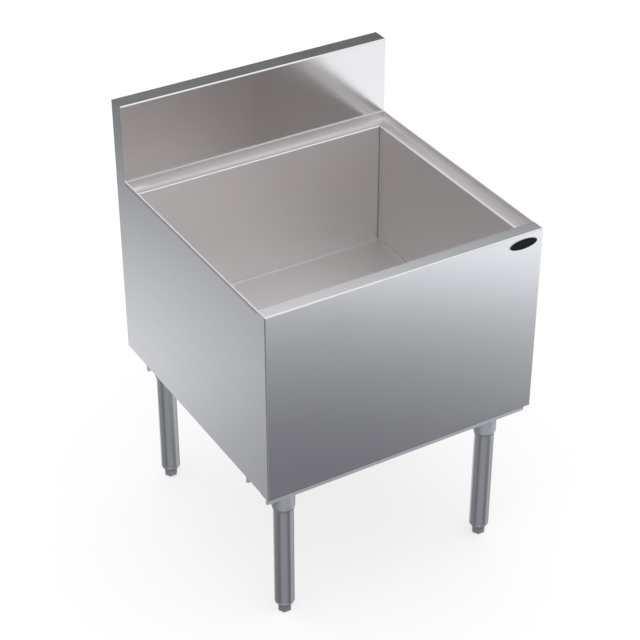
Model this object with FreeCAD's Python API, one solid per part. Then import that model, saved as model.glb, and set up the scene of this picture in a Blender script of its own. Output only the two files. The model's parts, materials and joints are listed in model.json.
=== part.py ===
import FreeCAD, Part
import math
import os
from FreeCAD import Vector

# Underbar ice bin: an insulated stainless bin with a backsplash, on four legs with levelling feet.
# Millimetres. Origin on the floor under the middle of the body, X to the right, Y to the rear, Z up.

# Overall sizes
width = 609.6
depth = 609.6
rim_height = 765.5
body_height = 418.3
splash_rise = 165.0
splash_depth = 40.0

# Sheet metal
sheet = 1.2
bend_inside = 1.3
rear_return = 20.0
pan_flange = 15.0
joint_gap = 0.2

# Front panel
front_wrap = 28.6
flange_lip = 12.0
front_return = 12.0
front_drop = 1.8

# Backsplash
splash_lip = 25.0
splash_skirt = 30.0

# Rim, ledge and well of the liner
hem_gap = 0.6
hem_height = 9.0
side_ledge = 17.6
rear_ledge = 14.2
recess_depth = 25.4
well_depth = 305.0
cove_radius = 10.5
lip_inside = 1.5
floor_cove = 4.0

# Insulation
foam_gap = 0.3

# Rear panel rivets
rivet_radius = 1.6
rivet_head_radius = 2.8
rivet_head = 0.9
rivet_tail_radius = 2.3
rivet_tail = 3.0
rivet_pitch = 105.0
rivet_end = 40.0
hole_gap = 0.05

# Drain
drain_flange_radius = 32.0
drain_flange = 3.0
drain_shank_radius = 21.0
drain_shank = 38.0
drain_wall = 3.0
drain_nut_flats = 56.0
drain_nut = 8.0
gasket = 1.5
strainer_radius = 24.0
strainer = 1.2
strainer_hole_radius = 2.0
strainer_rings = (9.0, 14.5)
strainer_hole_pitch = 6.5
pipe_radius = 16.7
pipe_bore = 13.3
pipe_socket = 20.0
pipe_drop = 34.0
outlet_radius = 15.875
outlet_length = 22.0
pan_hole_gap = 1.0
escutcheon_radius = 30.0
escutcheon = 1.5
bar_width = 8.0
bar_height = 5.0
bar_drop = 3.0
strainer_screw_radius = 2.0
strainer_screw_reach = 7.0
screw_head_radius = 3.8
screw_head = 2.0
screw_slot = 1.0
screw_slot_depth = 0.9

# Leg channels
channel_sheet = 2.0
channel_bend = 2.0
channel_width = 80.0
channel_height = 22.4
channel_inset = 4.0
channel_corner = 4.0
flange_notch = 25.0
front_channel_inset = 15.0
rear_channel_inset = 3.0

# Leg sockets
leg_inset = 66.0
leg_setback = 5.0
socket_plate = 60.0
socket_plate_thickness = 4.0
socket_plate_corner = 8.0
socket_radius = 23.75
socket_drop = 81.0
socket_taper = 7.5
socket_gap = 0.15
socket_lip = 0.4
bolt_spacing = 46.0
bolt_radius = 3.0
bolt_flats = 10.0
bolt_head = 4.0
bolt_gap = 0.3
set_screw_radius = 4.0
set_screw_proud = 3.0
set_screw_height = 36.0
set_screw_key = 4.0
set_screw_key_depth = 2.5

# Leg tubes and feet
tube_radius = 20.65
tube_wall = 1.5
plug_flange = 2.0
plug_height = 25.0
plug_gap = 0.05
foot_flats = 25.4
foot_hex = 16.0
foot_cone = 12.0
foot_cone_tip = 13.6
foot_edge = 0.8
foot_gap = 0.3
stem_radius = 6.0
stem_length = 46.0

# Badge plate, blank
badge_length = 66.0
badge_height = 23.2
badge_thickness = 1.0
badge_edge = 0.4
badge_from_side = 46.0
badge_from_top = 20.8

# Levels and planes worked out from the sizes above
left, right = -width / 2, width / 2
front, rear = -depth / 2, depth / 2
body_base = rim_height - body_height
shell_base = body_base + front_drop
splash_top = rim_height + splash_rise
splash_face = rear - splash_depth
flange_back = front + front_wrap
bend_outside = bend_inside + sheet
rim_thickness = 2 * sheet + hem_gap
hem_base = rim_height - hem_height
roll_radius = rim_thickness / 2
ledge = rim_height - recess_depth
floor_top = rim_height - well_depth
well_side = right - rim_thickness - side_ledge
well_front = flange_back - sheet
well_back = splash_face - rim_thickness - rear_ledge
drain_y = (well_front + well_back) / 2
channel_base = shell_base - channel_height
web_under = shell_base - channel_sheet
plate_under = web_under - socket_plate_thickness
socket_base = body_base - socket_drop
tube_base = foot_hex + foot_cone + foot_gap + plug_flange
to_rear = Vector(0, 1, 0)
past = 5.0
same_place = 1e-4

os.makedirs("parts", exist_ok=True)


def box(x0, x1, y0, y1, z0, z1):
    """Block between two corners."""
    return Part.makeBox(x1 - x0, y1 - y0, z1 - z0, Vector(x0, y0, z0))


def rod(radius, base, length, axis=Vector(0, 0, 1)):
    """Cylinder from a base point along an axis."""
    return Part.makeCylinder(radius, length, base, axis)


def hexagon(flats, height, base):
    """Hexagonal prism standing on a base point, with a corner towards +X."""
    reach = flats / math.sqrt(3)
    angles = [math.radians(60 * i) for i in range(7)]
    corners = [base + Vector(reach * math.cos(a), reach * math.sin(a), 0) for a in angles]
    return Part.Face(Part.makePolygon(corners)).extrude(Vector(0, 0, height))


def edges_on(shape, **place):
    """Edges of a shape whose every corner lies at the given coordinates."""
    def inside(edge):
        return all(abs(getattr(corner.Point, axis) - value) < same_place
                   for corner in edge.Vertexes for axis, value in place.items())
    return [edge for edge in shape.Edges if inside(edge)]


def mirrored(shape):
    """The same piece on the other side of the middle plane."""
    return shape.mirror(Vector(0, 0, 0), Vector(1, 0, 0))


def save(name, shape):
    """Writes one node and says what it holds."""
    if not shape.isValid():
        print("not valid:", name)
    shape.exportStep("parts/%s.step" % name)
    print("%-26s solids %2d  volume %11.1f" % (name, len(shape.Solids), shape.Volume))


def rounded_front(block, radius, y, x0, x1, z0, z1):
    """Rounds the four edges of a block's front face and the two at the sides of its top."""
    edges = edges_on(block, y=y, z=z0) + edges_on(block, y=y, z=z1)
    edges += edges_on(block, y=y, x=x0) + edges_on(block, y=y, x=x1)
    edges += edges_on(block, x=x0, z=z1) + edges_on(block, x=x1, z=z1)
    return block.makeFillet(radius, edges)


def front_panel():
    """Face with top flange, side returns that wrap the corners, a bottom return and the flange's lip."""
    outer = box(left, right, front, flange_back, body_base, rim_height)
    outer = rounded_front(outer, bend_outside, front, left, right, body_base, rim_height)
    x0, x1, y0 = left + sheet, right - sheet, front + sheet
    z0, z1 = body_base + sheet, rim_height - sheet
    inner = box(x0, x1, y0, flange_back + past, z0, z1)
    inner = rounded_front(inner, bend_inside, y0, x0, x1, z0, z1)
    open_base = box(x0, x1, front + front_return, flange_back + past, body_base - past, z0 + sheet)
    lip_x = right - rim_thickness - joint_gap
    lip = box(-lip_x, lip_x, well_front, flange_back, z1 - flange_lip, z1)
    return outer.cut(inner).cut(open_base).fuse(lip).removeSplitter()


def side_panel():
    """Left side: L outline that also closes the backsplash's end, with a return along the rear edge."""
    outline = [(flange_back, shell_base), (rear, shell_base), (rear, splash_top), (splash_face, splash_top),
               (splash_face, hem_base), (flange_back, hem_base), (flange_back, shell_base)]
    face = Part.Face(Part.makePolygon([Vector(left, y, z) for y, z in outline]))
    outer = face.extrude(Vector(rear_return, 0, 0))
    outer = outer.makeFillet(bend_outside, edges_on(outer, x=left, y=rear))
    x0, y1 = left + sheet, rear - sheet
    inner = box(x0, left + rear_return + past, flange_back - past, y1, shell_base - past, splash_top + past)
    inner = inner.makeFillet(bend_inside, edges_on(inner, x=x0, y=y1))
    room_for_top = box(x0, left + rear_return + past, rear - bend_outside, rear + past,
                       splash_top - sheet, splash_top + past)
    panel = outer.cut(inner).cut(room_for_top)
    for x, z in rivet_places():
        if x < left + rear_return:
            panel = panel.cut(rivet_hole(x, z))
    return panel


def backsplash():
    """Front face, flat top and turned-down rear lip, between the side panels."""
    x0, x1 = left + sheet, right - sheet
    z0 = rim_height - splash_skirt
    outer = box(x0, x1, splash_face, rear, z0, splash_top)
    outer = outer.makeFillet(bend_outside, edges_on(outer, y=splash_face, z=splash_top)
                             + edges_on(outer, y=rear, z=splash_top))
    y0, y1, z1 = splash_face + sheet, rear - sheet, splash_top - sheet
    inner = box(x0 - past, x1 + past, y0, y1, z0 - past, z1)
    inner = inner.makeFillet(bend_inside, edges_on(inner, y=y0, z=z1) + edges_on(inner, y=y1, z=z1))
    below_lip = box(x0 - past, x1 + past, y1, rear + past, z0 - past, splash_top - splash_lip)
    piece = outer.cut(inner).cut(below_lip)
    lip_x = right - rear_return - joint_gap
    for low, high in ((x0 - past, -lip_x), (lip_x, x1 + past)):
        piece = piece.cut(box(low, high, rear - bend_outside, rear + past, z0, z1))
    for x, z in rivet_places():
        if abs(x) < lip_x:
            piece = piece.cut(rivet_hole(x, z))
    return piece


def rivet_places():
    """Rivets up both rear returns and along the backsplash's rear lip."""
    places = []
    low, high = shell_base + rivet_end, splash_top - splash_lip - rivet_end
    steps = max(1, round((high - low) / rivet_pitch))
    for side in (-1, 1):
        for i in range(steps + 1):
            places.append((side * (right - rear_return / 2), low + (high - low) * i / steps))
    reach = right - rear_return - rivet_end
    steps = max(1, round(2 * reach / rivet_pitch))
    lip_middle = splash_top - (splash_lip + bend_outside) / 2
    for i in range(steps + 1):
        places.append((-reach + 2 * reach * i / steps, lip_middle))
    return places


def rivet_hole(x, z):
    """Cutter for one rivet's countersunk hole through the lapped sheets."""
    start = Vector(x, rear - 2 * sheet - past, z)
    hole = rod(rivet_radius + hole_gap, start, 2 * sheet + 2 * past, to_rear)
    return hole.fuse(rivet_head_cone(x, z, hole_gap))


def rivet_head_cone(x, z, grow):
    """Countersunk head of one rivet, flush with the back."""
    base = Vector(x, rear - rivet_head, z)
    return Part.makeCone(rivet_radius + grow, rivet_head_radius + grow, rivet_head, base, to_rear)


def rear_panel():
    """Flat sheet behind the returns, closing the back."""
    panel = box(left + bend_outside, right - bend_outside, rear - 2 * sheet, rear - sheet,
                shell_base, splash_top - bend_outside)
    for x, z in rivet_places():
        panel = panel.cut(rivet_hole(x, z))
    return panel


def rear_panel_rivets():
    """Blind rivets: flush countersunk head, shank through both sheets, set tail inside."""
    inside = rear - 2 * sheet
    rivets = []
    for x, z in rivet_places():
        shank = rod(rivet_radius, Vector(x, inside, z), 2 * sheet, to_rear)
        tail = rod(rivet_tail_radius, Vector(x, inside - rivet_tail, z), rivet_tail, to_rear)
        rivets.append(shank.fuse([rivet_head_cone(x, z, 0), tail]).removeSplitter())
    return Part.makeCompound(rivets)


def basin_space(grow):
    """The air inside the liner, grown outwards: recess above the ledge and well below it."""
    x1, y0, y1 = right - rim_thickness + grow, well_front - grow, splash_face - rim_thickness + grow
    z = ledge - grow
    recess = box(-x1, x1, y0, y1, z, rim_height + past)
    recess = recess.makeFillet(cove_radius + grow, edges_on(recess, x=-x1, z=z) + edges_on(recess, x=x1, z=z)
                               + edges_on(recess, y=y1, z=z))
    side, back, base = well_side + grow, well_back + grow, floor_top - grow
    well = box(-side, side, y0, back, base, rim_height)
    well = well.makeFillet(floor_cove + grow, edges_on(well, z=base))
    space = recess.fuse(well).removeSplitter()
    lip = [edge for edge in edges_on(space, z=z)
           if all(abs(v.X) < side + same_place and v.Y < back + same_place for v in edge.Vertexes)]
    return space.makeFillet(lip_inside + sheet + foam_gap - grow, lip)


def rim_roll(start, direction, length, inward, plan):
    """Rolled rim along one side: round top and outer leg down to the panel, mitred to a plan outline."""
    centre = start + inward * roll_radius - Vector(0, 0, roll_radius)
    top = rod(roll_radius, centre, length, direction)
    low = start - Vector(0, 0, hem_height)
    corners = [low, low + inward * sheet, centre + inward * (sheet - roll_radius),
               centre - inward * roll_radius, low]
    leg = Part.Face(Part.makePolygon(corners)).extrude(direction * length)
    drop = Vector(0, 0, -rim_thickness)
    corners = [centre - inward * rim_thickness, centre + inward * rim_thickness,
               centre + inward * rim_thickness + drop, centre - inward * rim_thickness + drop]
    under = Part.Face(Part.makePolygon(corners + corners[:1])).extrude(direction * length)
    corners = [Vector(x, y, hem_base - past) for x, y in plan]
    inside = Part.Face(Part.makePolygon(corners + corners[:1])).extrude(Vector(0, 0, hem_height + 2 * past))
    return top.cut(under).fuse(leg).removeSplitter().common(inside)


def liner():
    """Ice well of one sheet: coved floor, walls, ledge, recess wall, rolled rim and the drain's hole."""
    shell = basin_space(sheet).cut(basin_space(0))
    above = box(left, right, front, rear, rim_height - roll_radius, rim_height + 2 * past)
    shell = shell.cut(above)
    inner_x, inner_y = left + 2 * rim_thickness, splash_face - 2 * rim_thickness
    side_plan = [(left, flange_back), (left, splash_face), (inner_x, inner_y), (inner_x, flange_back)]
    side_roll = rim_roll(Vector(left, flange_back, rim_height), to_rear, splash_face - flange_back,
                         Vector(1, 0, 0), side_plan)
    rear_plan = [(left, splash_face), (right, splash_face), (-inner_x, inner_y), (inner_x, inner_y)]
    rear_roll = rim_roll(Vector(left, splash_face, rim_height), Vector(1, 0, 0), width,
                         Vector(0, -1, 0), rear_plan)
    shell = shell.fuse([side_roll, mirrored(side_roll), rear_roll]).removeSplitter()
    return shell.cut(drain_hole(drain_shank_radius + joint_gap))


def drain_hole(radius):
    """Cutter down the drain's axis through floor, insulation and pan."""
    return rod(radius, Vector(0, drain_y, body_base - past), floor_top - body_base + 2 * past)


def bottom_pan():
    """Tray that closes the underside, its flanges against the panels."""
    def tray(inset, z0, radius):
        x1, y0, y1 = right - sheet - inset, front + sheet + inset, rear - 2 * sheet - inset
        block = box(-x1, x1, y0, y1, z0, shell_base + pan_flange + (past if inset else 0))
        upright = [e for x in (-x1, x1) for y in (y0, y1) for e in edges_on(block, x=x, y=y)]
        return block.makeFillet(radius, upright + edges_on(block, z=z0))
    pan = tray(0, shell_base, bend_outside).cut(tray(sheet, shell_base + sheet, bend_inside))
    return pan.cut(drain_hole(pipe_radius + pan_hole_gap))


def insulation():
    """Foam between the liner and the shell, on the bottom pan."""
    x1 = right - 2 * sheet - foam_gap
    y0, y1 = front + 2 * sheet + foam_gap, rear - 2 * sheet - max(sheet, rivet_tail) - foam_gap
    z0, z1 = shell_base + sheet, rim_height - splash_skirt - foam_gap
    block = box(-x1, x1, y0, y1, z0, z1)
    upright = [e for x in (-x1, x1) for y in (y0, y1) for e in edges_on(block, x=x, y=y)]
    block = block.makeFillet(bend_outside, upright + edges_on(block, z=z0))
    foam = block.cut(basin_space(sheet + foam_gap))
    nut_base = Vector(0, drain_y, floor_top - sheet - drain_shank - foam_gap)
    nut_room = rod(drain_nut_flats / math.sqrt(3) + foam_gap, nut_base, drain_shank + past)
    return foam.cut(drain_hole(pipe_radius + foam_gap)).cut(nut_room)


def drain_body():
    """Flanged drain: strainer seat, shank for the lock nut, screw bar and a socket for the pipe."""
    seat = floor_top + gasket
    top = seat + drain_flange
    base = seat - drain_shank
    axis = Vector(0, drain_y, 0)
    body = rod(drain_flange_radius, axis + Vector(0, 0, seat), drain_flange)
    body = body.makeChamfer(drain_flange / 2, edges_on(body, z=top))
    body = body.fuse(rod(drain_shank_radius, axis + Vector(0, 0, base), drain_shank)).removeSplitter()
    body = body.cut(rod(strainer_radius + hole_gap, axis + Vector(0, 0, top - strainer), past))
    body = body.cut(rod(pipe_radius + hole_gap, axis + Vector(0, 0, base - past), pipe_socket + past))
    body = body.cut(rod(pipe_bore, axis + Vector(0, 0, base), top - base + past))
    mouth_radius = drain_shank_radius - drain_wall
    shoulder = axis + Vector(0, 0, base + pipe_socket)
    mouth = Part.makeCone(pipe_bore, mouth_radius, seat - base - pipe_socket, shoulder)
    body = body.cut(mouth).cut(rod(mouth_radius, axis + Vector(0, 0, seat), past))
    bar_top = top - strainer - bar_drop
    bar = box(-strainer_radius, strainer_radius, drain_y - bar_width / 2, drain_y + bar_width / 2,
              bar_top - bar_height, bar_top)
    bar = bar.common(rod(drain_shank_radius, axis + Vector(0, 0, base), drain_shank + drain_flange))
    screw_hole = rod(strainer_screw_radius + hole_gap, axis + Vector(0, 0, base), top - base)
    return body.fuse(bar).removeSplitter().cut(screw_hole)


def drain_strainer():
    """Perforated disc in the flange's seat."""
    z = floor_top + gasket + drain_flange - strainer
    disc = rod(strainer_radius, Vector(0, drain_y, z), strainer)
    disc = disc.cut(rod(strainer_screw_radius + hole_gap, Vector(0, drain_y, z - past), 3 * past))
    for ring_radius in strainer_rings:
        count = int(2 * math.pi * ring_radius / strainer_hole_pitch)
        for i in range(count):
            angle = 2 * math.pi * i / count
            place = Vector(ring_radius * math.cos(angle), drain_y + ring_radius * math.sin(angle), z - past)
            disc = disc.cut(rod(strainer_hole_radius, place, 3 * past))
    return disc


def drain_strainer_screw():
    """Pan-head screw that holds the strainer to the bar."""
    z = floor_top + gasket + drain_flange
    head = rod(screw_head_radius, Vector(0, drain_y, z), screw_head)
    head = head.makeFillet(screw_head / 2, edges_on(head, z=z + screw_head))
    slot_base, half_slot = z + screw_head - screw_slot_depth, screw_slot / 2
    head = head.cut(box(-screw_head_radius, screw_head_radius, drain_y - half_slot, drain_y + half_slot,
                        slot_base, slot_base + past))
    reach = strainer + strainer_screw_reach
    return head.fuse(rod(strainer_screw_radius, Vector(0, drain_y, z - reach), reach)).removeSplitter()


def drain_gasket():
    """Ring between the drain's flange and the floor of the well."""
    place = Vector(0, drain_y, floor_top)
    ring = rod(drain_flange_radius - gasket, place, gasket)
    return ring.cut(rod(drain_shank_radius + joint_gap, place, gasket))


def drain_locknut():
    """Hexagonal nut that pulls the drain down on its gasket."""
    place = Vector(0, drain_y, floor_top - sheet - drain_nut)
    nut = hexagon(drain_nut_flats, drain_nut, place)
    return nut.cut(rod(drain_shank_radius + hole_gap, place, drain_nut))


def drain_tailpiece():
    """Pipe from the drain's socket down through the bottom pan, with a spigot for a hose."""
    top = floor_top + gasket - drain_shank + pipe_socket
    base = body_base - pipe_drop
    pipe = rod(pipe_radius, Vector(0, drain_y, base + outlet_length), top - base - outlet_length)
    pipe = pipe.fuse(rod(outlet_radius, Vector(0, drain_y, base), outlet_length))
    return pipe.cut(rod(pipe_bore, Vector(0, drain_y, base - past), top - base + 2 * past))


def drain_escutcheon():
    """Ring that covers the pan's hole round the pipe."""
    place = Vector(0, drain_y, shell_base - escutcheon)
    return rod(escutcheon_radius, place, escutcheon).cut(rod(pipe_radius + hole_gap, place, escutcheon))


def leg_channel(y0, leg_y, rear_notch):
    """Inverted U under the pan with the bolts' holes. Its rear flange may stop short of the ends."""
    x1, y1 = right - channel_inset, y0 + channel_width
    outer = box(-x1, x1, y0, y1, channel_base, shell_base)
    outer = outer.makeFillet(channel_bend + channel_sheet,
                             edges_on(outer, y=y0, z=shell_base) + edges_on(outer, y=y1, z=shell_base))
    ends = edges_on(outer, x=-x1, z=channel_base) + edges_on(outer, x=x1, z=channel_base)
    outer = outer.makeFillet(channel_corner, ends)
    low, high = y0 + channel_sheet, y1 - channel_sheet
    inner = box(-x1 - past, x1 + past, low, high, channel_base - past, web_under)
    bends = edges_on(inner, y=low, z=web_under) + edges_on(inner, y=high, z=web_under)
    inner = inner.makeFillet(channel_bend, bends)
    channel = outer.cut(inner)
    if rear_notch:
        for end in (-x1 - past, x1 - rear_notch):
            channel = channel.cut(box(end, end + rear_notch + past, high - channel_bend, y1 + past,
                                      channel_base - past, web_under - channel_bend))
    for leg_x in (left + leg_inset, right - leg_inset):
        for x, y in bolt_places(leg_x, leg_y):
            hole = rod(bolt_radius + hole_gap, Vector(x, y, web_under - past), channel_sheet + 2 * past)
            channel = channel.cut(hole)
    return channel


def bolt_places(leg_x, leg_y):
    """Four bolts at the corners of a socket's plate."""
    half = bolt_spacing / 2
    return [(leg_x + i * half, leg_y + j * half) for i in (-1, 1) for j in (-1, 1)]


def leg_socket(leg_x, leg_y):
    """Cast socket: plate under the channel's web and a cup with a tapered lip for the tube."""
    half = socket_plate / 2
    plate = box(leg_x - half, leg_x + half, leg_y - half, leg_y + half, plate_under, web_under)
    upright = [e for x in (leg_x - half, leg_x + half) for y in (leg_y - half, leg_y + half)
               for e in edges_on(plate, x=x, y=y)]
    plate = plate.makeFillet(socket_plate_corner, upright)
    for x, y in bolt_places(leg_x, leg_y):
        start = Vector(x, y, plate_under - past)
        plate = plate.cut(rod(bolt_radius + bolt_gap, start, socket_plate_thickness + 2 * past))
    axis = Vector(leg_x, leg_y, 0)
    bore = tube_radius + socket_gap
    cup_depth = plate_under - socket_base
    cup = rod(socket_radius, axis + Vector(0, 0, socket_base + socket_taper), cup_depth - socket_taper)
    lip = Part.makeCone(bore + socket_lip, socket_radius, socket_taper, axis + Vector(0, 0, socket_base))
    cup = cup.fuse(lip).cut(rod(bore, axis + Vector(0, 0, socket_base - past), cup_depth + past))
    screw_hole = rod(set_screw_radius + hole_gap, Vector(leg_x, leg_y, socket_base + set_screw_height),
                     socket_radius + past, to_rear)
    return plate.fuse(cup.cut(screw_hole)).removeSplitter()


def set_screw(leg_x, leg_y):
    """Grub screw with a hexagon key hole, through the rear of a socket, against the tube."""
    start = tube_radius + hole_gap
    place = Vector(leg_x, leg_y + start, socket_base + set_screw_height)
    length = socket_radius + set_screw_proud - start
    key = hexagon(set_screw_key, set_screw_key_depth + past, Vector(0, 0, 0))
    key.rotate(Vector(0, 0, 0), Vector(1, 0, 0), -90)
    key.translate(place + to_rear * (length - set_screw_key_depth))
    return rod(set_screw_radius, place, length, to_rear).cut(key)


def socket_bolt(x, y):
    """Hexagon-head bolt from below, through the plate into the channel's web."""
    head = hexagon(bolt_flats, bolt_head, Vector(x, y, plate_under - bolt_head))
    shank = rod(bolt_radius, Vector(x, y, plate_under), socket_plate_thickness + channel_sheet - joint_gap)
    return head.fuse(shank).removeSplitter()


def leg_tube(leg_x, leg_y):
    """Round tube from the socket's plate down to the foot plug."""
    place = Vector(leg_x, leg_y, tube_base)
    length = plate_under - tube_base
    return rod(tube_radius, place, length).cut(rod(tube_radius - tube_wall, place, length))


def foot_plug(leg_x, leg_y):
    """Threaded plug in the tube's lower end, with a flange under the tube."""
    place = Vector(leg_x, leg_y, tube_base)
    plug = rod(tube_radius - tube_wall - plug_gap, place, plug_height)
    flange = rod(tube_radius, place - Vector(0, 0, plug_flange), plug_flange)
    hole = rod(stem_radius + hole_gap, place - Vector(0, 0, plug_flange), plug_flange + plug_height)
    return plug.fuse(flange).removeSplitter().cut(hole)


def foot(leg_x, leg_y):
    """Bullet foot: hexagon for a wrench, cone up to the tube's size and a threaded stem."""
    place = Vector(leg_x, leg_y, 0)
    block = hexagon(foot_flats, foot_hex, place)
    block = block.makeChamfer(foot_edge, edges_on(block, z=0))
    cone = Part.makeCone(foot_cone_tip, tube_radius, foot_cone, place + Vector(0, 0, foot_hex))
    stem = rod(stem_radius, place + Vector(0, 0, foot_hex + foot_cone), stem_length)
    return block.fuse([cone, stem]).removeSplitter()


def badge_plate():
    """Plain oval plate near the front panel's upper right corner."""
    centre = Vector(right - badge_from_side, front, rim_height - badge_from_top)
    side, top = Vector(badge_length / 2, 0, 0), Vector(0, 0, badge_height / 2)
    oval = Part.Ellipse(centre + side, centre + top, centre)
    plate = Part.Face(Part.Wire(oval.toShape())).extrude(Vector(0, -badge_thickness, 0))
    return plate.makeFillet(badge_edge, edges_on(plate, y=front - badge_thickness))


front_leg_y = front + front_channel_inset + channel_width / 2 + leg_setback
rear_leg_y = rear - rear_channel_inset - channel_width / 2 + leg_setback
legs = {
    "front_left": (left + leg_inset, front_leg_y),
    "front_right": (right - leg_inset, front_leg_y),
    "rear_left": (left + leg_inset, rear_leg_y),
    "rear_right": (right - leg_inset, rear_leg_y),
}

left_panel = side_panel()
save("front_panel", front_panel())
save("left_side_panel", left_panel)
save("right_side_panel", mirrored(left_panel))
save("backsplash", backsplash())
save("rear_panel", rear_panel())
save("rear_panel_rivets", rear_panel_rivets())
save("liner", liner())
save("bottom_pan", bottom_pan())
save("insulation", insulation())
save("drain_body", drain_body())
save("drain_strainer", drain_strainer())
save("drain_strainer_screw", drain_strainer_screw())
save("drain_gasket", drain_gasket())
save("drain_locknut", drain_locknut())
save("drain_tailpiece", drain_tailpiece())
save("drain_escutcheon", drain_escutcheon())
save("front_leg_channel", leg_channel(front + front_channel_inset, front_leg_y, 0))
save("rear_leg_channel", leg_channel(rear - rear_channel_inset - channel_width, rear_leg_y, flange_notch))
for place, (x, y) in legs.items():
    save(place + "_leg_socket", leg_socket(x, y))
    save(place + "_leg_tube", leg_tube(x, y))
    save(place + "_foot_plug", foot_plug(x, y))
    save(place + "_foot", foot(x, y))
save("leg_set_screws", Part.makeCompound([set_screw(x, y) for x, y in legs.values()]))
bolts = [socket_bolt(*spot) for x, y in legs.values() for spot in bolt_places(x, y)]
save("socket_bolts", Part.makeCompound(bolts))
save("badge_plate", badge_plate())
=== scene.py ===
import json
import math

import bmesh
import bpy
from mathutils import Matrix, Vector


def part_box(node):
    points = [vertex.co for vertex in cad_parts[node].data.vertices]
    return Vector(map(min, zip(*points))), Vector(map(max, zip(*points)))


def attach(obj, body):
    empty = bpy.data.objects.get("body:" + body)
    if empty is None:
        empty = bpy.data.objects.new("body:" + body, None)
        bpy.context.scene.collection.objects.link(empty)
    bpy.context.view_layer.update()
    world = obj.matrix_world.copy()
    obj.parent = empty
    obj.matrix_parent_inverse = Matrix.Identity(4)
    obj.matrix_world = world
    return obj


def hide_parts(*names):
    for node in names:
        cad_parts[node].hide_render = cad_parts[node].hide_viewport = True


# Underbar ice bin. Metres, in the CAD model's frame: X to the right, Y to the rear, Z up from the floor.

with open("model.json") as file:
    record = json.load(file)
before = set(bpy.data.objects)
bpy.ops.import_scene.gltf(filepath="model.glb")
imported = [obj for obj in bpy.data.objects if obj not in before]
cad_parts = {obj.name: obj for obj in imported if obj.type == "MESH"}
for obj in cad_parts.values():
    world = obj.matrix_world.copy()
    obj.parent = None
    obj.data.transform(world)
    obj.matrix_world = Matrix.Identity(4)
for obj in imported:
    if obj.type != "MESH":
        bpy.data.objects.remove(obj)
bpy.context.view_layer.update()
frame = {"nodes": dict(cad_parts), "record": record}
scene = bpy.context.scene
scene.view_settings.view_transform = "Standard"

# Shared values. A span is where a change starts and ends, and levels are the values at its two ends.
RISING = (0.0, 1.0)
FALLING = (1.0, 0.0)
MID_NOISE = (0.3, 0.7)
FINE_DEPTH = 0.0002

# Camera
CAMERA_PLACE = (-1.59398, -2.67341, 2.56427)
CAMERA_AZIMUTH = 30.641
CAMERA_ELEVATION = 33.767
CAMERA_LENS = 103.195
CAMERA_SENSOR = 36.0

# Studio: light level by the height of a direction above the horizon, in degrees
FRONT_DOME = ((-90, 0.22), (-37.6, 0.215), (-34.0, 0.45), (-31.0, 1.25), (-25, 1.2), (-14, 0.62),
              (-7, 0.68), (-1, 1.0), (10, 1.0), (26, 1.2), (90, 1.2))
LEFT_DOME = ((-90, 0.22), (-33.0, 0.215), (-29.0, 0.45), (-26.0, 1.25), (-22, 1.2), (-14, 0.62),
             (-7, 0.68), (-1, 1.0), (10, 1.0), (26, 1.2), (90, 1.2))
REAR_DOME = ((-90, 0.2), (-24, 0.2), (-14, 0.58), (-7, 0.7), (-1, 1.0), (8, 1.0), (14, 0.5), (21, 0.05),
             (25, 0.03), (29.2, 0.25), (35.5, 1.1), (42, 1.25), (90, 1.25))
REAR_GLOW = ((-90, 0.1), (-45, 0.25), (-38.7, 0.55), (-35.2, 1.0), (-25.5, 0.05), (90, 0.0))
# Lower lights: azimuth from the front towards the right, height, inner and outer reach in degrees, level
LOW_LIGHTS = ((-28, -46, 8, 40, 0.205), (80, -40, 12, 26, 0.29), (56, -30, 4, 21, 0.14))
# Where the parts of the dome meet, by the X, Y or Z share of a direction
LEFT_SPAN = (0.05, 0.28)
BEHIND_SPAN = (-0.25, 0.35)
GLOW_SPAN = (0.23, 0.45)
GLOW_LEVELS = (1.0, 0.25)
FRONT_LOW_SPAN = (-0.628, -0.592)
REAR_LOW_SPAN = (-0.3, 0.2)
# Tints of the dome
FRONT_TINT = (0.974, 0.99, 1.029, 1.0)
FRONT_LOW_TINT = (0.993, 0.987, 1.12, 1.0)
REAR_TINT = (1.0, 0.997, 1.01, 1.0)
REAR_LOW_TINT = (0.985, 0.998, 1.035, 1.0)

# Floor
FLOOR_RADIUS = 150.0
FLOOR_SEGMENTS = 96
FLOOR_COLOUR = (0.36, 0.36, 0.36, 1.0)
FLOOR_GLOW = 0.66
FLOOR_ROUGHNESS = 0.9
FLOOR_CLOUD = 3.0
FLOOR_CLOUD_LEVELS = (0.985, 1.0)

# Metal colours
SATIN = (0.695, 0.70, 0.712)
SPLASH = (0.75, 0.739, 0.735)
TUBE = (0.546, 0.553, 0.559)
FOOT_METAL = (0.53, 0.534, 0.542)
LINER = (0.80, 0.776, 0.765)
# The ledge's darker tone is painted shade and the paler wall above it is painted light, on the same sheet as
# the well
LEDGE_SHADE = (0.578, 0.556, 0.549)
RECESS = (0.89, 0.866, 0.857)
# The lip and the side rolls are lighter as painted highlights, and the rear roll is darker as painted shade,
# on the same sheet as the well
LIP = (0.92, 0.9, 0.895)
ROLL = (0.92, 0.92, 0.93)
REAR_ROLL = (0.7, 0.695, 0.69)

# Brushed sheet and tube: waves per metre along and across the brushing, and of the slow clouds
GRAIN_LONG = 9.0
GRAIN_FINE = 1500.0
SHEET_CLOUD = (5.0, 5.0, 5.0)
STREAK_STRETCH = 0.12
STREAK_TONES = (0.5, 1.1)
FINE_SHARE = 0.6
SHEET_CONTRAST = (0.985, 1.01)
SHEET_UNEVEN = (0.25, 0.75)
SHEET_SPREAD = 0.03
SHEET_BUMP = 0.015
SATIN_ROUGHNESS = 0.13
SPLASH_ROUGHNESS = 0.175

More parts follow.
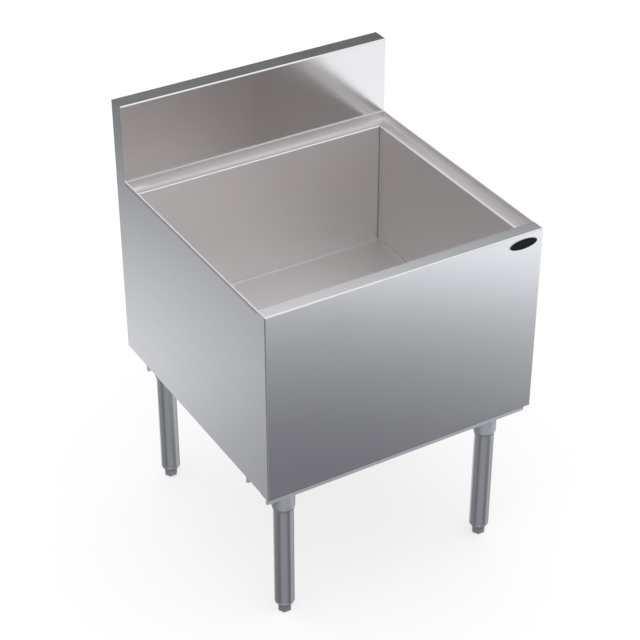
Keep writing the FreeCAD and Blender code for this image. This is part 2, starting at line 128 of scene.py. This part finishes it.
# Cast and plated metal
MOTTLE_CLOUD = 25.0
MOTTLE_GRAIN_SHARE = 0.4
MOTTLE_TONES = (0.35, 0.65)
MOTTLE_SPREAD = 0.04
MOTTLE_BUMP = 0.25
MOTTLE_DEPTH = 0.0001

# Galvanised sheet
SPANGLE = 130.0
SPANGLE_SHARE = 0.8
ZINC_GRAIN = 900.0
ZINC_SPREAD = 0.02
ZINC_BUMP = 0.02

# Turned metal
TURNED_CLOUD = 60.0
TURNED_CONTRAST = (0.94, 1.04)
TURNED_SMOOTHER = 0.03
TURNED_ROUGHER = 0.05
TURNED_BUMP = 0.05

# Rubber and foam
SOFT_SPREAD = 0.05
SOFT_BUMP = 0.4

# Places on the body and the liner
HALF_WIDTH = 0.3048
BODY_FRONT = -0.3048
BODY_BASE = 0.3472
RIM_TOP = 0.7655
LEDGE = 0.7401
WELL_SIDE = 0.2842
WELL_BACK = 0.2476
WELL_FRONT = -0.2774
WELL_BASE = 0.4605

# Bends of the front panel: places, and how dark the painted shade along them is
BEND_FRONT = (BODY_FRONT + 0.0008, BODY_FRONT + 0.0024)
BEND_SIDE = (HALF_WIDTH - 0.0024, HALF_WIDTH - 0.0008)
BEND_BASE = (BODY_BASE + 0.0018, BODY_BASE + 0.0036)
BEND_LEVELS = (1.0, 0.72)
LOWER_BEND_LEVELS = (1.0, 0.8)

# Well: painted shade on its floor and side walls, painted light on its front and back walls, and painted
# shade in the cove round the floor
WELL_FLOOR_SPAN = (LEDGE - 0.03, LEDGE - 0.02)
WELL_FLOOR_SHADE = (1.0, 0.86)
FRONT_WALL_SPAN = (WELL_FRONT + 0.002, WELL_FRONT + 0.006)
FRONT_WALL_LIGHT = (1.22, 1.0)
SIDE_WALL_SPAN = (WELL_SIDE - 0.004, WELL_SIDE - 0.001)
SIDE_WALL_SHADE = (1.0, 0.87)
BACK_WALL_SPAN = (WELL_BACK - 0.004, WELL_BACK - 0.001)
BACK_WALL_LIGHT = (0.05, 0.2)
COVE_FOOT = (WELL_BASE + 0.0002, WELL_BASE + 0.0006)
COVE_HEAD = (WELL_BASE + 0.0014, WELL_BASE + 0.0026)
COVE_ACROSS = (WELL_SIDE - 0.03, WELL_SIDE - 0.005)
COVE_SHADE = (0.68, 0.7)

# Ledge, with a painted highlight near the well's edge and painted shade further out along its sides, and the
# wall above it with painted shade towards the rim
REAR_RISE = (LEDGE + 0.0066, LEDGE + 0.0096)
SIDE_RISE = (LEDGE + 0.0017, LEDGE + 0.0088)
RISE_CORNER = (WELL_SIDE - 0.04, WELL_SIDE)
LEDGE_LIGHT_INNER = (WELL_SIDE + 0.003, WELL_SIDE + 0.0105)
LEDGE_LIGHT_INNER_GAIN = (0.27, -0.05)
LEDGE_LIGHT_OUTER = (WELL_SIDE + 0.0105, WELL_SIDE + 0.017)
LEDGE_LIGHT_OUTER_GAIN = (0.0, -0.02)
LEDGE_LIGHT_SIDE = (WELL_SIDE - 0.002, WELL_SIDE)
LEDGE_LIGHT_REAR = (WELL_BACK - 0.03, WELL_BACK + 0.002)
RECESS_SPAN = (RIM_TOP - 0.014, RIM_TOP - 0.003)
RECESS_SHADE_LEVELS = (1.0, 0.86)

# Rim, lip, hem and rear corners of the liner, with painted highlights on the lip and rolls, painted shade on
# the hem and darker lines up the rear corners
UPPER_SPAN = (LEDGE - 0.004, LEDGE - 0.001)
LIP_FOOT = (LEDGE - 0.0018, LEDGE - 0.001)
LIP_HEAD = (LEDGE - 0.0003, LEDGE - 0.0001)
ROLL_SPAN = (RIM_TOP - 0.0028, RIM_TOP - 0.0012)
ROLL_SIDE = (HALF_WIDTH - 0.0042, HALF_WIDTH - 0.0028)
OUTSIDE_SPAN = (HALF_WIDTH - 0.0012, HALF_WIDTH - 0.0006)
HEM_SPAN = (RIM_TOP - 0.0105, RIM_TOP - 0.002)
HEM_SHADE_LEVELS = (1.0, 0.5)
CORNER_LINE_SPAN = (0.0008, 0.0024)
CORNER_LINE_LEVELS = (0.62, 1.0)
LEVEL_FACES = (0.3, 0.8)
LINER_CLOUD = (7.0, 7.0, 7.0)
LINER_GRAIN_LEVELS = (0.985, 1.0)
LINER_ROUGHNESS = (0.43, 0.54)
LINER_UNEVEN = (-0.015, 0.015)
LINER_GRAIN_SHARE = 0.5
LINER_BUMP = 0.02

# Badge
BADGE_BORDER = (0.95, 0.965)
BADGE_FLECK = 700.0
BADGE_DARK = (0.006, 0.006, 0.008, 1.0)
BADGE_LIGHT = (0.014, 0.014, 0.017, 1.0)
BADGE_ROUGHNESS = (0.22, 0.32)
BADGE_SPECULAR = 0.05

# Legs
PLACES = ("front_left", "front_right", "rear_left", "rear_right")

# Levelling foot, in millimetres above the floor and out from its axis
MILLIMETRES = 1000
FOOT_SEGMENTS = 48
FOOT_FLATS = 25.4
FOOT_HEX = 16.0
FOOT_EDGE = 0.8
FOOT_REACH = 20.65
FOOT_INSET = 0.1
FOOT_CONE_INSET = 0.41
FOOT_SHOULDER = 25.2
FOOT_CONE_TOP = FOOT_SHOULDER - 0.7
FOOT_TOP = 28.0
FOOT_RIM = 0.3
FOOT_SHARP_DEGREES = 28
STEM_SEAT = 1.0
STEM_TOP = 74.0
THREAD_CREST = 6.0
THREAD_ROOT = 5.1
THREAD_PITCH = 1.75
THREAD_STEPS = 6
THREAD_START = 29.4
THREAD_TOP_SLOPE = 0.6
THREAD_START_SLOPE = 0.8
# Thread profile: a peak with sloping flanks, cut off flat at a height of one
THREAD_PEAK = 1.6
THREAD_FLANK = 4.0


def add_node(tree, kind, inputs=None, **settings):
    """A shader node. Its inputs may be numbers, tuples or other nodes' outputs."""
    made = tree.nodes.new("ShaderNode" + kind)
    for key, value in settings.items():
        setattr(made, key, value)
    for key, value in (inputs or {}).items():
        if isinstance(value, bpy.types.NodeSocket):
            tree.links.new(value, made.inputs[key])
        else:
            made.inputs[key].default_value = value
    return made


def calc(tree, operation, first, second=0.0):
    """One step of arithmetic."""
    return add_node(tree, "Math", {0: first, 1: second}, operation=operation).outputs[0]


def times(tree, first, second):
    """Product of two values."""
    return calc(tree, "MULTIPLY", first, second)


def shares(tree, first, share, second):
    """Two values added in shares that make one."""
    return calc(tree, "ADD", times(tree, first, share), times(tree, second, 1 - share))


def distance(tree, first, second):
    """Length of two offsets at right angles."""
    return calc(tree, "SQRT", calc(tree, "ADD", times(tree, first, first), times(tree, second, second)))


def ramp(tree, value, span, levels=RISING):
    """Smooth change from one level to another over a span."""
    inputs = {"Value": value, "From Min": span[0], "From Max": span[1],
              "To Min": levels[0], "To Max": levels[1]}
    return add_node(tree, "MapRange", inputs, interpolation_type="SMOOTHSTEP").outputs[0]


def between(tree, factor, first, second):
    """Number between two numbers."""
    return add_node(tree, "Mix", {"Factor": factor, "A": first, "B": second}).outputs["Result"]


def blend(tree, factor, first, second):
    """Colour between two colours."""
    inputs = {"Factor": factor, "A": first, "B": second}
    return add_node(tree, "Mix", inputs, data_type="RGBA").outputs["Result"]


def shaded(tree, colour, factor):
    """Colour times a factor."""
    inputs = {"Factor": 1.0, "A": colour, "B": factor}
    return add_node(tree, "Mix", inputs, data_type="RGBA", blend_type="MULTIPLY").outputs["Result"]


def opaque(colour, factor=1.0):
    """Colour times a factor, with full alpha."""
    return tuple(min(1.0, value * factor) for value in colour) + (1.0,)


def object_place(tree):
    """Object coordinates in metres."""
    return add_node(tree, "TexCoord").outputs["Object"]


def split(tree, vector):
    """X, Y and Z of a vector."""
    return add_node(tree, "SeparateXYZ", {"Vector": vector}).outputs


def stretched(tree, scale):
    """Object coordinates in metres, stretched per axis."""
    return add_node(tree, "VectorMath", {0: object_place(tree), 1: scale}, operation="MULTIPLY").outputs[0]


def noise(tree, place, scale=1.0, detail=2.0):
    """Soft random texture."""
    return add_node(tree, "TexNoise", {"Vector": place, "Scale": scale, "Detail": detail}).outputs[0]


def new_material(name):
    """A material with one principled shader."""
    material = bpy.data.materials.new(name)
    material.use_nodes = True
    tree = material.node_tree
    tree.nodes.clear()
    shader = add_node(tree, "BsdfPrincipled")
    out = add_node(tree, "OutputMaterial")
    tree.links.new(shader.outputs[0], out.inputs["Surface"])
    return material, tree, shader


def set_surface(tree, shader, colour, rough, height, strength, depth=FINE_DEPTH, metallic=1.0):
    """Joins colour, roughness and a bump to a shader."""
    tree.links.new(colour, shader.inputs["Base Color"])
    tree.links.new(rough, shader.inputs["Roughness"])
    bump = add_node(tree, "Bump", {"Height": height, "Strength": strength, "Distance": depth})
    tree.links.new(bump.outputs[0], shader.inputs["Normal"])
    shader.inputs["Metallic"].default_value = metallic


def dome_levels(tree, height, levels):
    """Light level from a list of (degrees above the horizon, level)."""
    place = add_node(tree, "MapRange", {"Value": height, "From Min": -1.0, "From Max": 1.0}).outputs[0]
    made = add_node(tree, "ValToRGB", {"Fac": place})
    steps = made.color_ramp
    steps.interpolation = "EASE"
    while len(steps.elements) < len(levels):
        steps.elements.new(0.5)
    for element, (degrees, level) in zip(steps.elements, levels):
        element.position = (math.sin(math.radians(degrees)) + 1) / 2
        element.color = (level, level, level, 1)
    return made.outputs["Color"]


def low_light(tree, direction, azimuth, height, inner, outer, strength):
    """Round patch of light in the dome."""
    turn, rise = math.radians(azimuth), math.radians(height)
    towards = (math.sin(turn) * math.cos(rise), -math.cos(turn) * math.cos(rise), math.sin(rise))
    near = add_node(tree, "VectorMath", {0: direction, 1: towards}, operation="DOT_PRODUCT").outputs["Value"]
    span = (math.cos(math.radians(outer)), math.cos(math.radians(inner)))
    return ramp(tree, near, span, (0.0, strength))


def make_studio():
    """Soft dome: bright in front and above, with a darker belt behind and dim below."""
    world = bpy.data.worlds.new("studio")
    world.use_nodes = True
    tree = world.node_tree
    tree.nodes.clear()
    direction = add_node(tree, "TexCoord").outputs["Generated"]
    across, back, height = split(tree, direction)
    behind = ramp(tree, back, BEHIND_SPAN)
    front = between(tree, ramp(tree, across, LEFT_SPAN), dome_levels(tree, height, LEFT_DOME),
                    dome_levels(tree, height, FRONT_DOME))
    middle = ramp(tree, calc(tree, "ABSOLUTE", across), GLOW_SPAN, GLOW_LEVELS)
    glow = times(tree, dome_levels(tree, height, REAR_GLOW), middle)
    rear = calc(tree, "ADD", dome_levels(tree, height, REAR_DOME), glow)
    level = between(tree, behind, front, rear)
    for settings in LOW_LIGHTS:
        level = calc(tree, "ADD", level, low_light(tree, direction, *settings))
    front_tint = blend(tree, ramp(tree, height, FRONT_LOW_SPAN), FRONT_LOW_TINT, FRONT_TINT)
    rear_tint = blend(tree, ramp(tree, height, REAR_LOW_SPAN), REAR_LOW_TINT, REAR_TINT)
    tint = blend(tree, behind, front_tint, rear_tint)
    light = add_node(tree, "Background", {"Color": tint, "Strength": level})
    out = add_node(tree, "OutputWorld")
    tree.links.new(light.outputs[0], out.inputs["Surface"])
    scene.world = world


def make_floor():
    """Wide pale floor, which the metal doesn't mirror."""
    mesh = bpy.data.meshes.new("floor")
    shape = bmesh.new()
    bmesh.ops.create_circle(shape, cap_ends=True, segments=FLOOR_SEGMENTS, radius=FLOOR_RADIUS)
    shape.to_mesh(mesh)
    shape.free()
    floor = bpy.data.objects.new("floor", mesh)
    scene.collection.objects.link(floor)
    material, tree, shader = new_material("floor_paint")
    cloud = noise(tree, object_place(tree), FLOOR_CLOUD)
    shade = ramp(tree, cloud, MID_NOISE, FLOOR_CLOUD_LEVELS)
    tree.links.new(shaded(tree, FLOOR_COLOUR, shade), shader.inputs["Base Color"])
    shader.inputs["Roughness"].default_value = FLOOR_ROUGHNESS
    shader.inputs["Specular IOR Level"].default_value = 0.0
    shader.inputs["Emission Color"].default_value = (1.0, 1.0, 1.0, 1.0)
    shader.inputs["Emission Strength"].default_value = FLOOR_GLOW
    mesh.materials.append(material)
    floor.visible_glossy = False


def make_camera():
    """Camera at the photograph's place."""
    lens = bpy.data.cameras.new("camera")
    lens.lens = CAMERA_LENS
    lens.sensor_width = CAMERA_SENSOR
    camera = bpy.data.objects.new("camera", lens)
    scene.collection.objects.link(camera)
    camera.location = CAMERA_PLACE
    camera.rotation_euler = (math.radians(90 - CAMERA_ELEVATION), 0, math.radians(-CAMERA_AZIMUTH))
    scene.camera = camera


def bend_shade(tree):
    """Painted shade along the front panel's upright bends and its lower bend."""
    x, y, z = split(tree, object_place(tree))
    near_front = ramp(tree, y, BEND_FRONT, FALLING)
    near_side = ramp(tree, calc(tree, "ABSOLUTE", x), BEND_SIDE)
    near_base = ramp(tree, z, BEND_BASE, FALLING)
    upright = ramp(tree, times(tree, near_front, near_side), RISING, BEND_LEVELS)
    lower = ramp(tree, times(tree, near_front, near_base), RISING, LOWER_BEND_LEVELS)
    return calc(tree, "MINIMUM", upright, lower)


def brushed_metal(name, colour, roughness, lines, bends=False):
    """Sheet or tube with fine lines along one axis, longer streaks and faint clouds."""
    material, tree, shader = new_material(name)
    fine = noise(tree, stretched(tree, lines))
    streak = noise(tree, stretched(tree, tuple(value * STREAK_STRETCH for value in lines)), detail=1.0)
    cloud = noise(tree, stretched(tree, SHEET_CLOUD), detail=3.0)
    tone = ramp(tree, calc(tree, "ADD", streak, times(tree, fine, FINE_SHARE)), STREAK_TONES)
    mixed = blend(tree, tone, *[opaque(colour, factor) for factor in SHEET_CONTRAST])
    # Painted shade along the front panel's bends
    if bends:
        mixed = shaded(tree, mixed, bend_shade(tree))
    uneven = shares(tree, fine, FINE_SHARE, cloud)
    rough = ramp(tree, uneven, SHEET_UNEVEN, (roughness - SHEET_SPREAD / 2, roughness + SHEET_SPREAD / 2))
    set_surface(tree, shader, mixed, rough, fine, SHEET_BUMP)
    return material


def mottled_metal(name, dark, light, roughness, grain):
    """Cast, blasted or plated metal: fine even grain with a slow change of tone."""
    material, tree, shader = new_material(name)
    place = object_place(tree)
    grains = noise(tree, place, grain, detail=3.0)
    both = shares(tree, grains, MOTTLE_GRAIN_SHARE, noise(tree, place, MOTTLE_CLOUD))
    mixed = blend(tree, ramp(tree, both, MOTTLE_TONES), opaque(dark), opaque(light))
    rough = ramp(tree, both, MID_NOISE, (roughness - MOTTLE_SPREAD, roughness + MOTTLE_SPREAD))
    set_surface(tree, shader, mixed, rough, grains, MOTTLE_BUMP, MOTTLE_DEPTH)
    return material


def galvanised_metal(name, dark, light, roughness):
    """Zinc-coated sheet with its crystal spangle."""
    material, tree, shader = new_material(name)
    place = object_place(tree)
    cells = add_node(tree, "TexVoronoi", {"Vector": place, "Scale": SPANGLE})
    red, green = add_node(tree, "SeparateColor", {"Color": cells.outputs["Color"]}).outputs[:2]
    fine = noise(tree, place, ZINC_GRAIN)
    mixed = blend(tree, shares(tree, red, SPANGLE_SHARE, fine), opaque(dark), opaque(light))
    rough = ramp(tree, green, RISING, (roughness - ZINC_SPREAD, roughness + ZINC_SPREAD))
    set_surface(tree, shader, mixed, rough, fine, ZINC_BUMP)
    return material


def turned_metal(name, colour, roughness, centre, rings):
    """Lathe-turned metal: fine rings round an upright axis and along it."""
    material, tree, shader = new_material(name)
    place = object_place(tree)
    x, y, z = split(tree, place)
    away = distance(tree, calc(tree, "SUBTRACT", x, centre[0]), calc(tree, "SUBTRACT", y, centre[1]))
    waves = {"X": times(tree, away, rings), "Z": times(tree, z, rings)}
    lines = noise(tree, add_node(tree, "CombineXYZ", waves).outputs[0])
    tones = [opaque(colour, factor) for factor in TURNED_CONTRAST]
    mixed = blend(tree, ramp(tree, lines, MID_NOISE), *tones)
    cloud = noise(tree, place, TURNED_CLOUD)
    rough = ramp(tree, cloud, MID_NOISE, (roughness - TURNED_SMOOTHER, roughness + TURNED_ROUGHER))
    set_surface(tree, shader, mixed, rough, lines, TURNED_BUMP)
    return material


def soft_material(name, dark, light, grain, roughness, depth):
    """Rubber or foam: fine grain in tone and surface."""
    material, tree, shader = new_material(name)
    grains = noise(tree, object_place(tree), grain, detail=4.0)
    mixed = blend(tree, ramp(tree, grains, MID_NOISE), opaque(dark), opaque(light))
    rough = ramp(tree, grains, MID_NOISE, (roughness - SOFT_SPREAD, roughness + SOFT_SPREAD))
    set_surface(tree, shader, mixed, rough, grains, SOFT_BUMP, depth, metallic=0.0)
    return material


def badge_enamel(name):
    """Black enamel oval with a thin bare-metal border, left blank."""
    low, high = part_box("badge_plate")
    material, tree, shader = new_material(name)
    place = object_place(tree)
    along = split(tree, place)
    offsets = []
    for axis in (0, 2):
        from_middle = calc(tree, "SUBTRACT", along[axis], (low[axis] + high[axis]) / 2)
        offsets.append(calc(tree, "DIVIDE", from_middle, (high[axis] - low[axis]) / 2))
    border = ramp(tree, distance(tree, *offsets), BADGE_BORDER)
    fleck = noise(tree, place, BADGE_FLECK)
    mixed = blend(tree, border, blend(tree, fleck, BADGE_DARK, BADGE_LIGHT), opaque(SATIN))
    tree.links.new(mixed, shader.inputs["Base Color"])
    tree.links.new(border, shader.inputs["Metallic"])
    tree.links.new(ramp(tree, fleck, MID_NOISE, BADGE_ROUGHNESS), shader.inputs["Roughness"])
    shader.inputs["Specular IOR Level"].default_value = BADGE_SPECULAR
    return material


def well_colour(tree, x, y, z, level):
    """Dull well: its floor, front, side and back walls, with painted shade on the floor and side walls,
    painted light on the front and back walls, and painted shade in the darker cove round the floor.
    """
    # Painted shade on the well's floor
    base = times(tree, level, ramp(tree, z, WELL_FLOOR_SPAN, FALLING))
    colour = shaded(tree, opaque(LINER), ramp(tree, base, RISING, WELL_FLOOR_SHADE))
    # Painted light on the front wall, painted shade on the side walls, and painted light on the back wall
    # that grows towards the ledge
    colour = shaded(tree, colour, ramp(tree, y, FRONT_WALL_SPAN, FRONT_WALL_LIGHT))
    colour = shaded(tree, colour, ramp(tree, x, SIDE_WALL_SPAN, SIDE_WALL_SHADE))
    back = times(tree, ramp(tree, y, BACK_WALL_SPAN), ramp(tree, z, (WELL_BASE, LEDGE), BACK_WALL_LIGHT))
    colour = shaded(tree, colour, calc(tree, "ADD", back, 1.0))
    # Painted shade in the cove round the floor
    cove = times(tree, ramp(tree, z, COVE_FOOT), ramp(tree, z, COVE_HEAD, FALLING))
    loss = calc(tree, "SUBTRACT", ramp(tree, x, COVE_ACROSS, COVE_SHADE), 1.0)
    return shaded(tree, colour, calc(tree, "ADD", times(tree, cove, loss), 1.0))


def recess_colour(tree, x, y, z):
    """Ledge in a darker tone as painted shade, with a painted highlight near the well's edge and painted
    shade further out along its sides, and the paler wall above it as painted light, darker towards the rim.
    """
    rise = between(tree, ramp(tree, x, RISE_CORNER), ramp(tree, z, REAR_RISE), ramp(tree, z, SIDE_RISE))
    # Painted highlight near the well's edge and painted shade further out along the ledge's sides
    ledge_light = calc(tree, "ADD", ramp(tree, x, LEDGE_LIGHT_INNER, LEDGE_LIGHT_INNER_GAIN),
                ramp(tree, x, LEDGE_LIGHT_OUTER, LEDGE_LIGHT_OUTER_GAIN))
    on_side = times(tree, ramp(tree, x, LEDGE_LIGHT_SIDE), ramp(tree, y, LEDGE_LIGHT_REAR, FALLING))
    flat = shaded(tree, opaque(LEDGE_SHADE), calc(tree, "ADD", times(tree, ledge_light, on_side), 1.0))
    # Painted shade on the wall towards the rim
    wall = shaded(tree, opaque(RECESS), ramp(tree, z, RECESS_SPAN, RECESS_SHADE_LEVELS))
    return blend(tree, rise, flat, wall)


def liner_finish(name):
    """Dull well, satin rim and ledge, and outer hem like the side panels, with painted light and shade on
    the well and ledge, painted highlights on the lip and side rolls, painted shade on the hem under the rim,
    and darker lines up the well's rear corners.
    """
    material, tree, shader = new_material(name)
    signed_x, y, z = split(tree, object_place(tree))
    x = calc(tree, "ABSOLUTE", signed_x)
    facing = split(tree, add_node(tree, "NewGeometry").outputs["Normal"])[2]
    level = ramp(tree, calc(tree, "ABSOLUTE", facing), LEVEL_FACES)
    upright_grain = noise(tree, stretched(tree, (GRAIN_LONG, GRAIN_LONG, GRAIN_FINE)))
    level_grain = noise(tree, stretched(tree, (GRAIN_LONG, GRAIN_FINE, GRAIN_LONG)))
    grain = between(tree, level, upright_grain, level_grain)
    cloud = noise(tree, stretched(tree, LINER_CLOUD), detail=3.0)

    upper = ramp(tree, z, UPPER_SPAN)
    colour = blend(tree, upper, well_colour(tree, x, y, z, level), recess_colour(tree, x, y, z))
    # Painted highlight along the well's lip
    lip = times(tree, ramp(tree, z, LIP_FOOT), ramp(tree, z, LIP_HEAD, FALLING))
    colour = blend(tree, lip, colour, opaque(LIP))
    # Darker line up the well's rear corners
    away = distance(tree, calc(tree, "SUBTRACT", x, WELL_SIDE), calc(tree, "SUBTRACT", y, WELL_BACK))
    colour = shaded(tree, colour, ramp(tree, away, CORNER_LINE_SPAN, CORNER_LINE_LEVELS))
    outside = ramp(tree, x, OUTSIDE_SPAN)
    # Painted shade on the hem, darkest just under the rolled rim
    hem = shaded(tree, opaque(SATIN), ramp(tree, z, HEM_SPAN, HEM_SHADE_LEVELS))
    colour = blend(tree, outside, colour, hem)
    # Painted highlight on the side rolls, with the rear roll darker as painted shade
    roll = blend(tree, ramp(tree, x, ROLL_SIDE), opaque(REAR_ROLL), opaque(ROLL))
    colour = blend(tree, ramp(tree, z, ROLL_SPAN), colour, roll)
    colour = shaded(tree, colour, ramp(tree, grain, MID_NOISE, LINER_GRAIN_LEVELS))

    rough = between(tree, outside, ramp(tree, upper, RISING, LINER_ROUGHNESS), SATIN_ROUGHNESS)
    uneven = ramp(tree, shares(tree, grain, LINER_GRAIN_SHARE, cloud), MID_NOISE, LINER_UNEVEN)
    set_surface(tree, shader, colour, calc(tree, "ADD", rough, uneven), grain, LINER_BUMP)
    return material


def paint(node, material):
    """Gives a CAD node its material."""
    mesh = frame["nodes"][node].data
    mesh.materials.clear()
    mesh.materials.append(material)
    for face in mesh.polygons:
        face.material_index = 0


def hexagon_radius(flats, angle):
    """Radius of a hexagon at an angle, from its width across flats."""
    sixth = math.pi / 3
    return flats / 2 / math.cos(angle % sixth - sixth / 2)


def thread_radius(height, angle):
    """Radius of the cut thread, which runs out at both ends."""
    crest = min(THREAD_CREST, THREAD_ROOT + THREAD_TOP_SLOPE * (STEM_TOP - height),
                THREAD_ROOT + THREAD_START_SLOPE * (height - THREAD_START))
    turn = (height / THREAD_PITCH - angle / (2 * math.pi)) % 1.0
    rise = min(1.0, max(0.0, THREAD_PEAK - abs(turn - 0.5) * THREAD_FLANK))
    return THREAD_ROOT + (crest - THREAD_ROOT) * rise


def foot_rings():
    """Outlines of a levelling foot from the floor up, as lists of (angle, radius, height)."""
    angles = [2 * math.pi * i / FOOT_SEGMENTS for i in range(FOOT_SEGMENTS)]
    rings = []
    for flats, height in ((FOOT_FLATS - 2 * FOOT_EDGE, 0.0), (FOOT_FLATS, FOOT_EDGE)):
        rings.append([(angle, hexagon_radius(flats, angle), height) for angle in angles])

    # The cone runs into the hexagon along a curve that is highest at the corners
    corner = FOOT_FLATS / math.sqrt(3)
    cone_reach = FOOT_REACH - FOOT_CONE_INSET
    flare = (cone_reach - corner) / (FOOT_CONE_TOP - FOOT_HEX)
    meet = []
    for angle in angles:
        radius = hexagon_radius(FOOT_FLATS, angle)
        meet.append((angle, radius, FOOT_HEX - (corner - radius) / flare))
    rings.append([(angle, radius, height - FOOT_EDGE) for angle, radius, height in meet])
    wider = FOOT_EDGE * flare
    rings.append([(angle, radius + wider, height + FOOT_EDGE) for angle, radius, height in meet])

    for height, radius in ((FOOT_CONE_TOP, cone_reach),
                           (FOOT_SHOULDER, FOOT_REACH - FOOT_INSET),
                           (FOOT_TOP - FOOT_RIM, FOOT_REACH - FOOT_INSET),
                           (FOOT_TOP, FOOT_REACH - FOOT_RIM),
                           (FOOT_TOP, THREAD_CREST + STEM_SEAT),
                           (FOOT_TOP, THREAD_ROOT)):
        rings.append([(angle, radius, height) for angle in angles])
    step = THREAD_PITCH / THREAD_STEPS
    for i in range(int((STEM_TOP - THREAD_START) / step) + 1):
        height = THREAD_START + i * step
        rings.append([(angle, thread_radius(height, angle), height) for angle in angles])
    return rings


def make_foot(place):
    """Levelling foot with wrench hexagon, cone and cut thread, in place of the plain CAD one."""
    low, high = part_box(place + "_foot")
    axis = ((low[0] + high[0]) / 2, (low[1] + high[1]) / 2)
    rings = foot_rings()
    points = []
    for ring in rings:
        for angle, radius, height in ring:
            points.append((axis[0] + radius * math.cos(angle) / MILLIMETRES,
                           axis[1] + radius * math.sin(angle) / MILLIMETRES,
                           low[2] + height / MILLIMETRES))
    count = FOOT_SEGMENTS
    top = (len(rings) - 1) * count
    faces = [tuple(reversed(range(count))), tuple(range(top, top + count))]
    for start in range(0, top, count):
        for i in range(count):
            j = (i + 1) % count
            faces.append((start + i, start + j, start + count + j, start + count + i))
    mesh = bpy.data.meshes.new(place + "_bullet_foot")
    mesh.from_pydata(points, [], faces)
    mesh.polygons.foreach_set("use_smooth", [True] * len(mesh.polygons))
    mesh.set_sharp_from_angle(angle=math.radians(FOOT_SHARP_DEGREES))
    mesh.materials.append(turned_metal(place + "_turned", FOOT_METAL, roughness=0.36, centre=axis,
                                       rings=1500.0))
    foot = bpy.data.objects.new(place + "_bullet_foot", mesh)
    scene.collection.objects.link(foot)
    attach(foot, place + "_levelling_foot")
    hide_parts(place + "_foot")


make_studio()
make_floor()
make_camera()

drain_low, drain_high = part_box("drain_strainer")
drain_axis = ((drain_low[0] + drain_high[0]) / 2, (drain_low[1] + drain_high[1]) / 2)

# Looks by material slot
looks = {
    "liner_stainless": liner_finish("liner_satin"),
    "galvanised_sheet": galvanised_metal("galvanised", dark=(0.61, 0.625, 0.645), light=(0.73, 0.745, 0.76),
                                         roughness=0.29),
    "leg_stainless": brushed_metal("tube_satin", TUBE, roughness=0.17, lines=(900.0, 900.0, 6.0)),
    "cast_socket": mottled_metal("blasted_casting", dark=(0.5, 0.514, 0.536), light=(0.53, 0.544, 0.566),
                                 roughness=0.42, grain=1100.0),
    "plated_fasteners": mottled_metal("zinc_plate", dark=(0.62, 0.63, 0.64), light=(0.74, 0.745, 0.75),
                                      roughness=0.26, grain=700.0),
    "drain_metal": turned_metal("drain_plate", colour=(0.72, 0.72, 0.73), roughness=0.14, centre=drain_axis,
                                rings=2200.0),
    "brass_fitting": turned_metal("brass", colour=(0.74, 0.57, 0.3), roughness=0.26, centre=drain_axis,
                                  rings=1800.0),
    "gasket_rubber": soft_material("gasket", dark=(0.018, 0.018, 0.018), light=(0.035, 0.035, 0.036),
                                   grain=900.0, roughness=0.65, depth=0.0002),
    "foam": soft_material("rigid_foam", dark=(0.74, 0.67, 0.46), light=(0.86, 0.8, 0.6),
                          grain=500.0, roughness=0.85, depth=0.0008),
    "badge_dark": badge_enamel("badge_enamel"),
}

# Looks of single nodes, where they differ from their slot's
across_lines = (GRAIN_LONG, GRAIN_FINE, GRAIN_FINE)
side_lines = (GRAIN_FINE, GRAIN_LONG, GRAIN_FINE)
side_satin = brushed_metal("satin_back", SATIN, SATIN_ROUGHNESS, side_lines)
bright_zinc = galvanised_metal("bright_zinc", dark=(0.59, 0.602, 0.618), light=(0.63, 0.642, 0.658),
                               roughness=0.38)
own_looks = {
    # The front panel carries painted shade along its bends
    "front_panel": brushed_metal("satin_across", SATIN, SATIN_ROUGHNESS, across_lines, bends=True),
    "backsplash": brushed_metal("satin_splash", SPLASH, SPLASH_ROUGHNESS, across_lines),
    "left_side_panel": side_satin,
    "right_side_panel": side_satin,
    "front_leg_channel": bright_zinc,
    "rear_leg_channel": bright_zinc,
}
for place in PLACES:
    own_looks[place + "_foot_plug"] = looks["leg_stainless"]

for part in frame["record"]["subparts"]:
    node, slot = part["node"], part["material_slot"]
    if slot == "foot_stainless":
        make_foot(node.removesuffix("_foot"))
    else:
        paint(node, own_looks.get(node) or looks[slot])
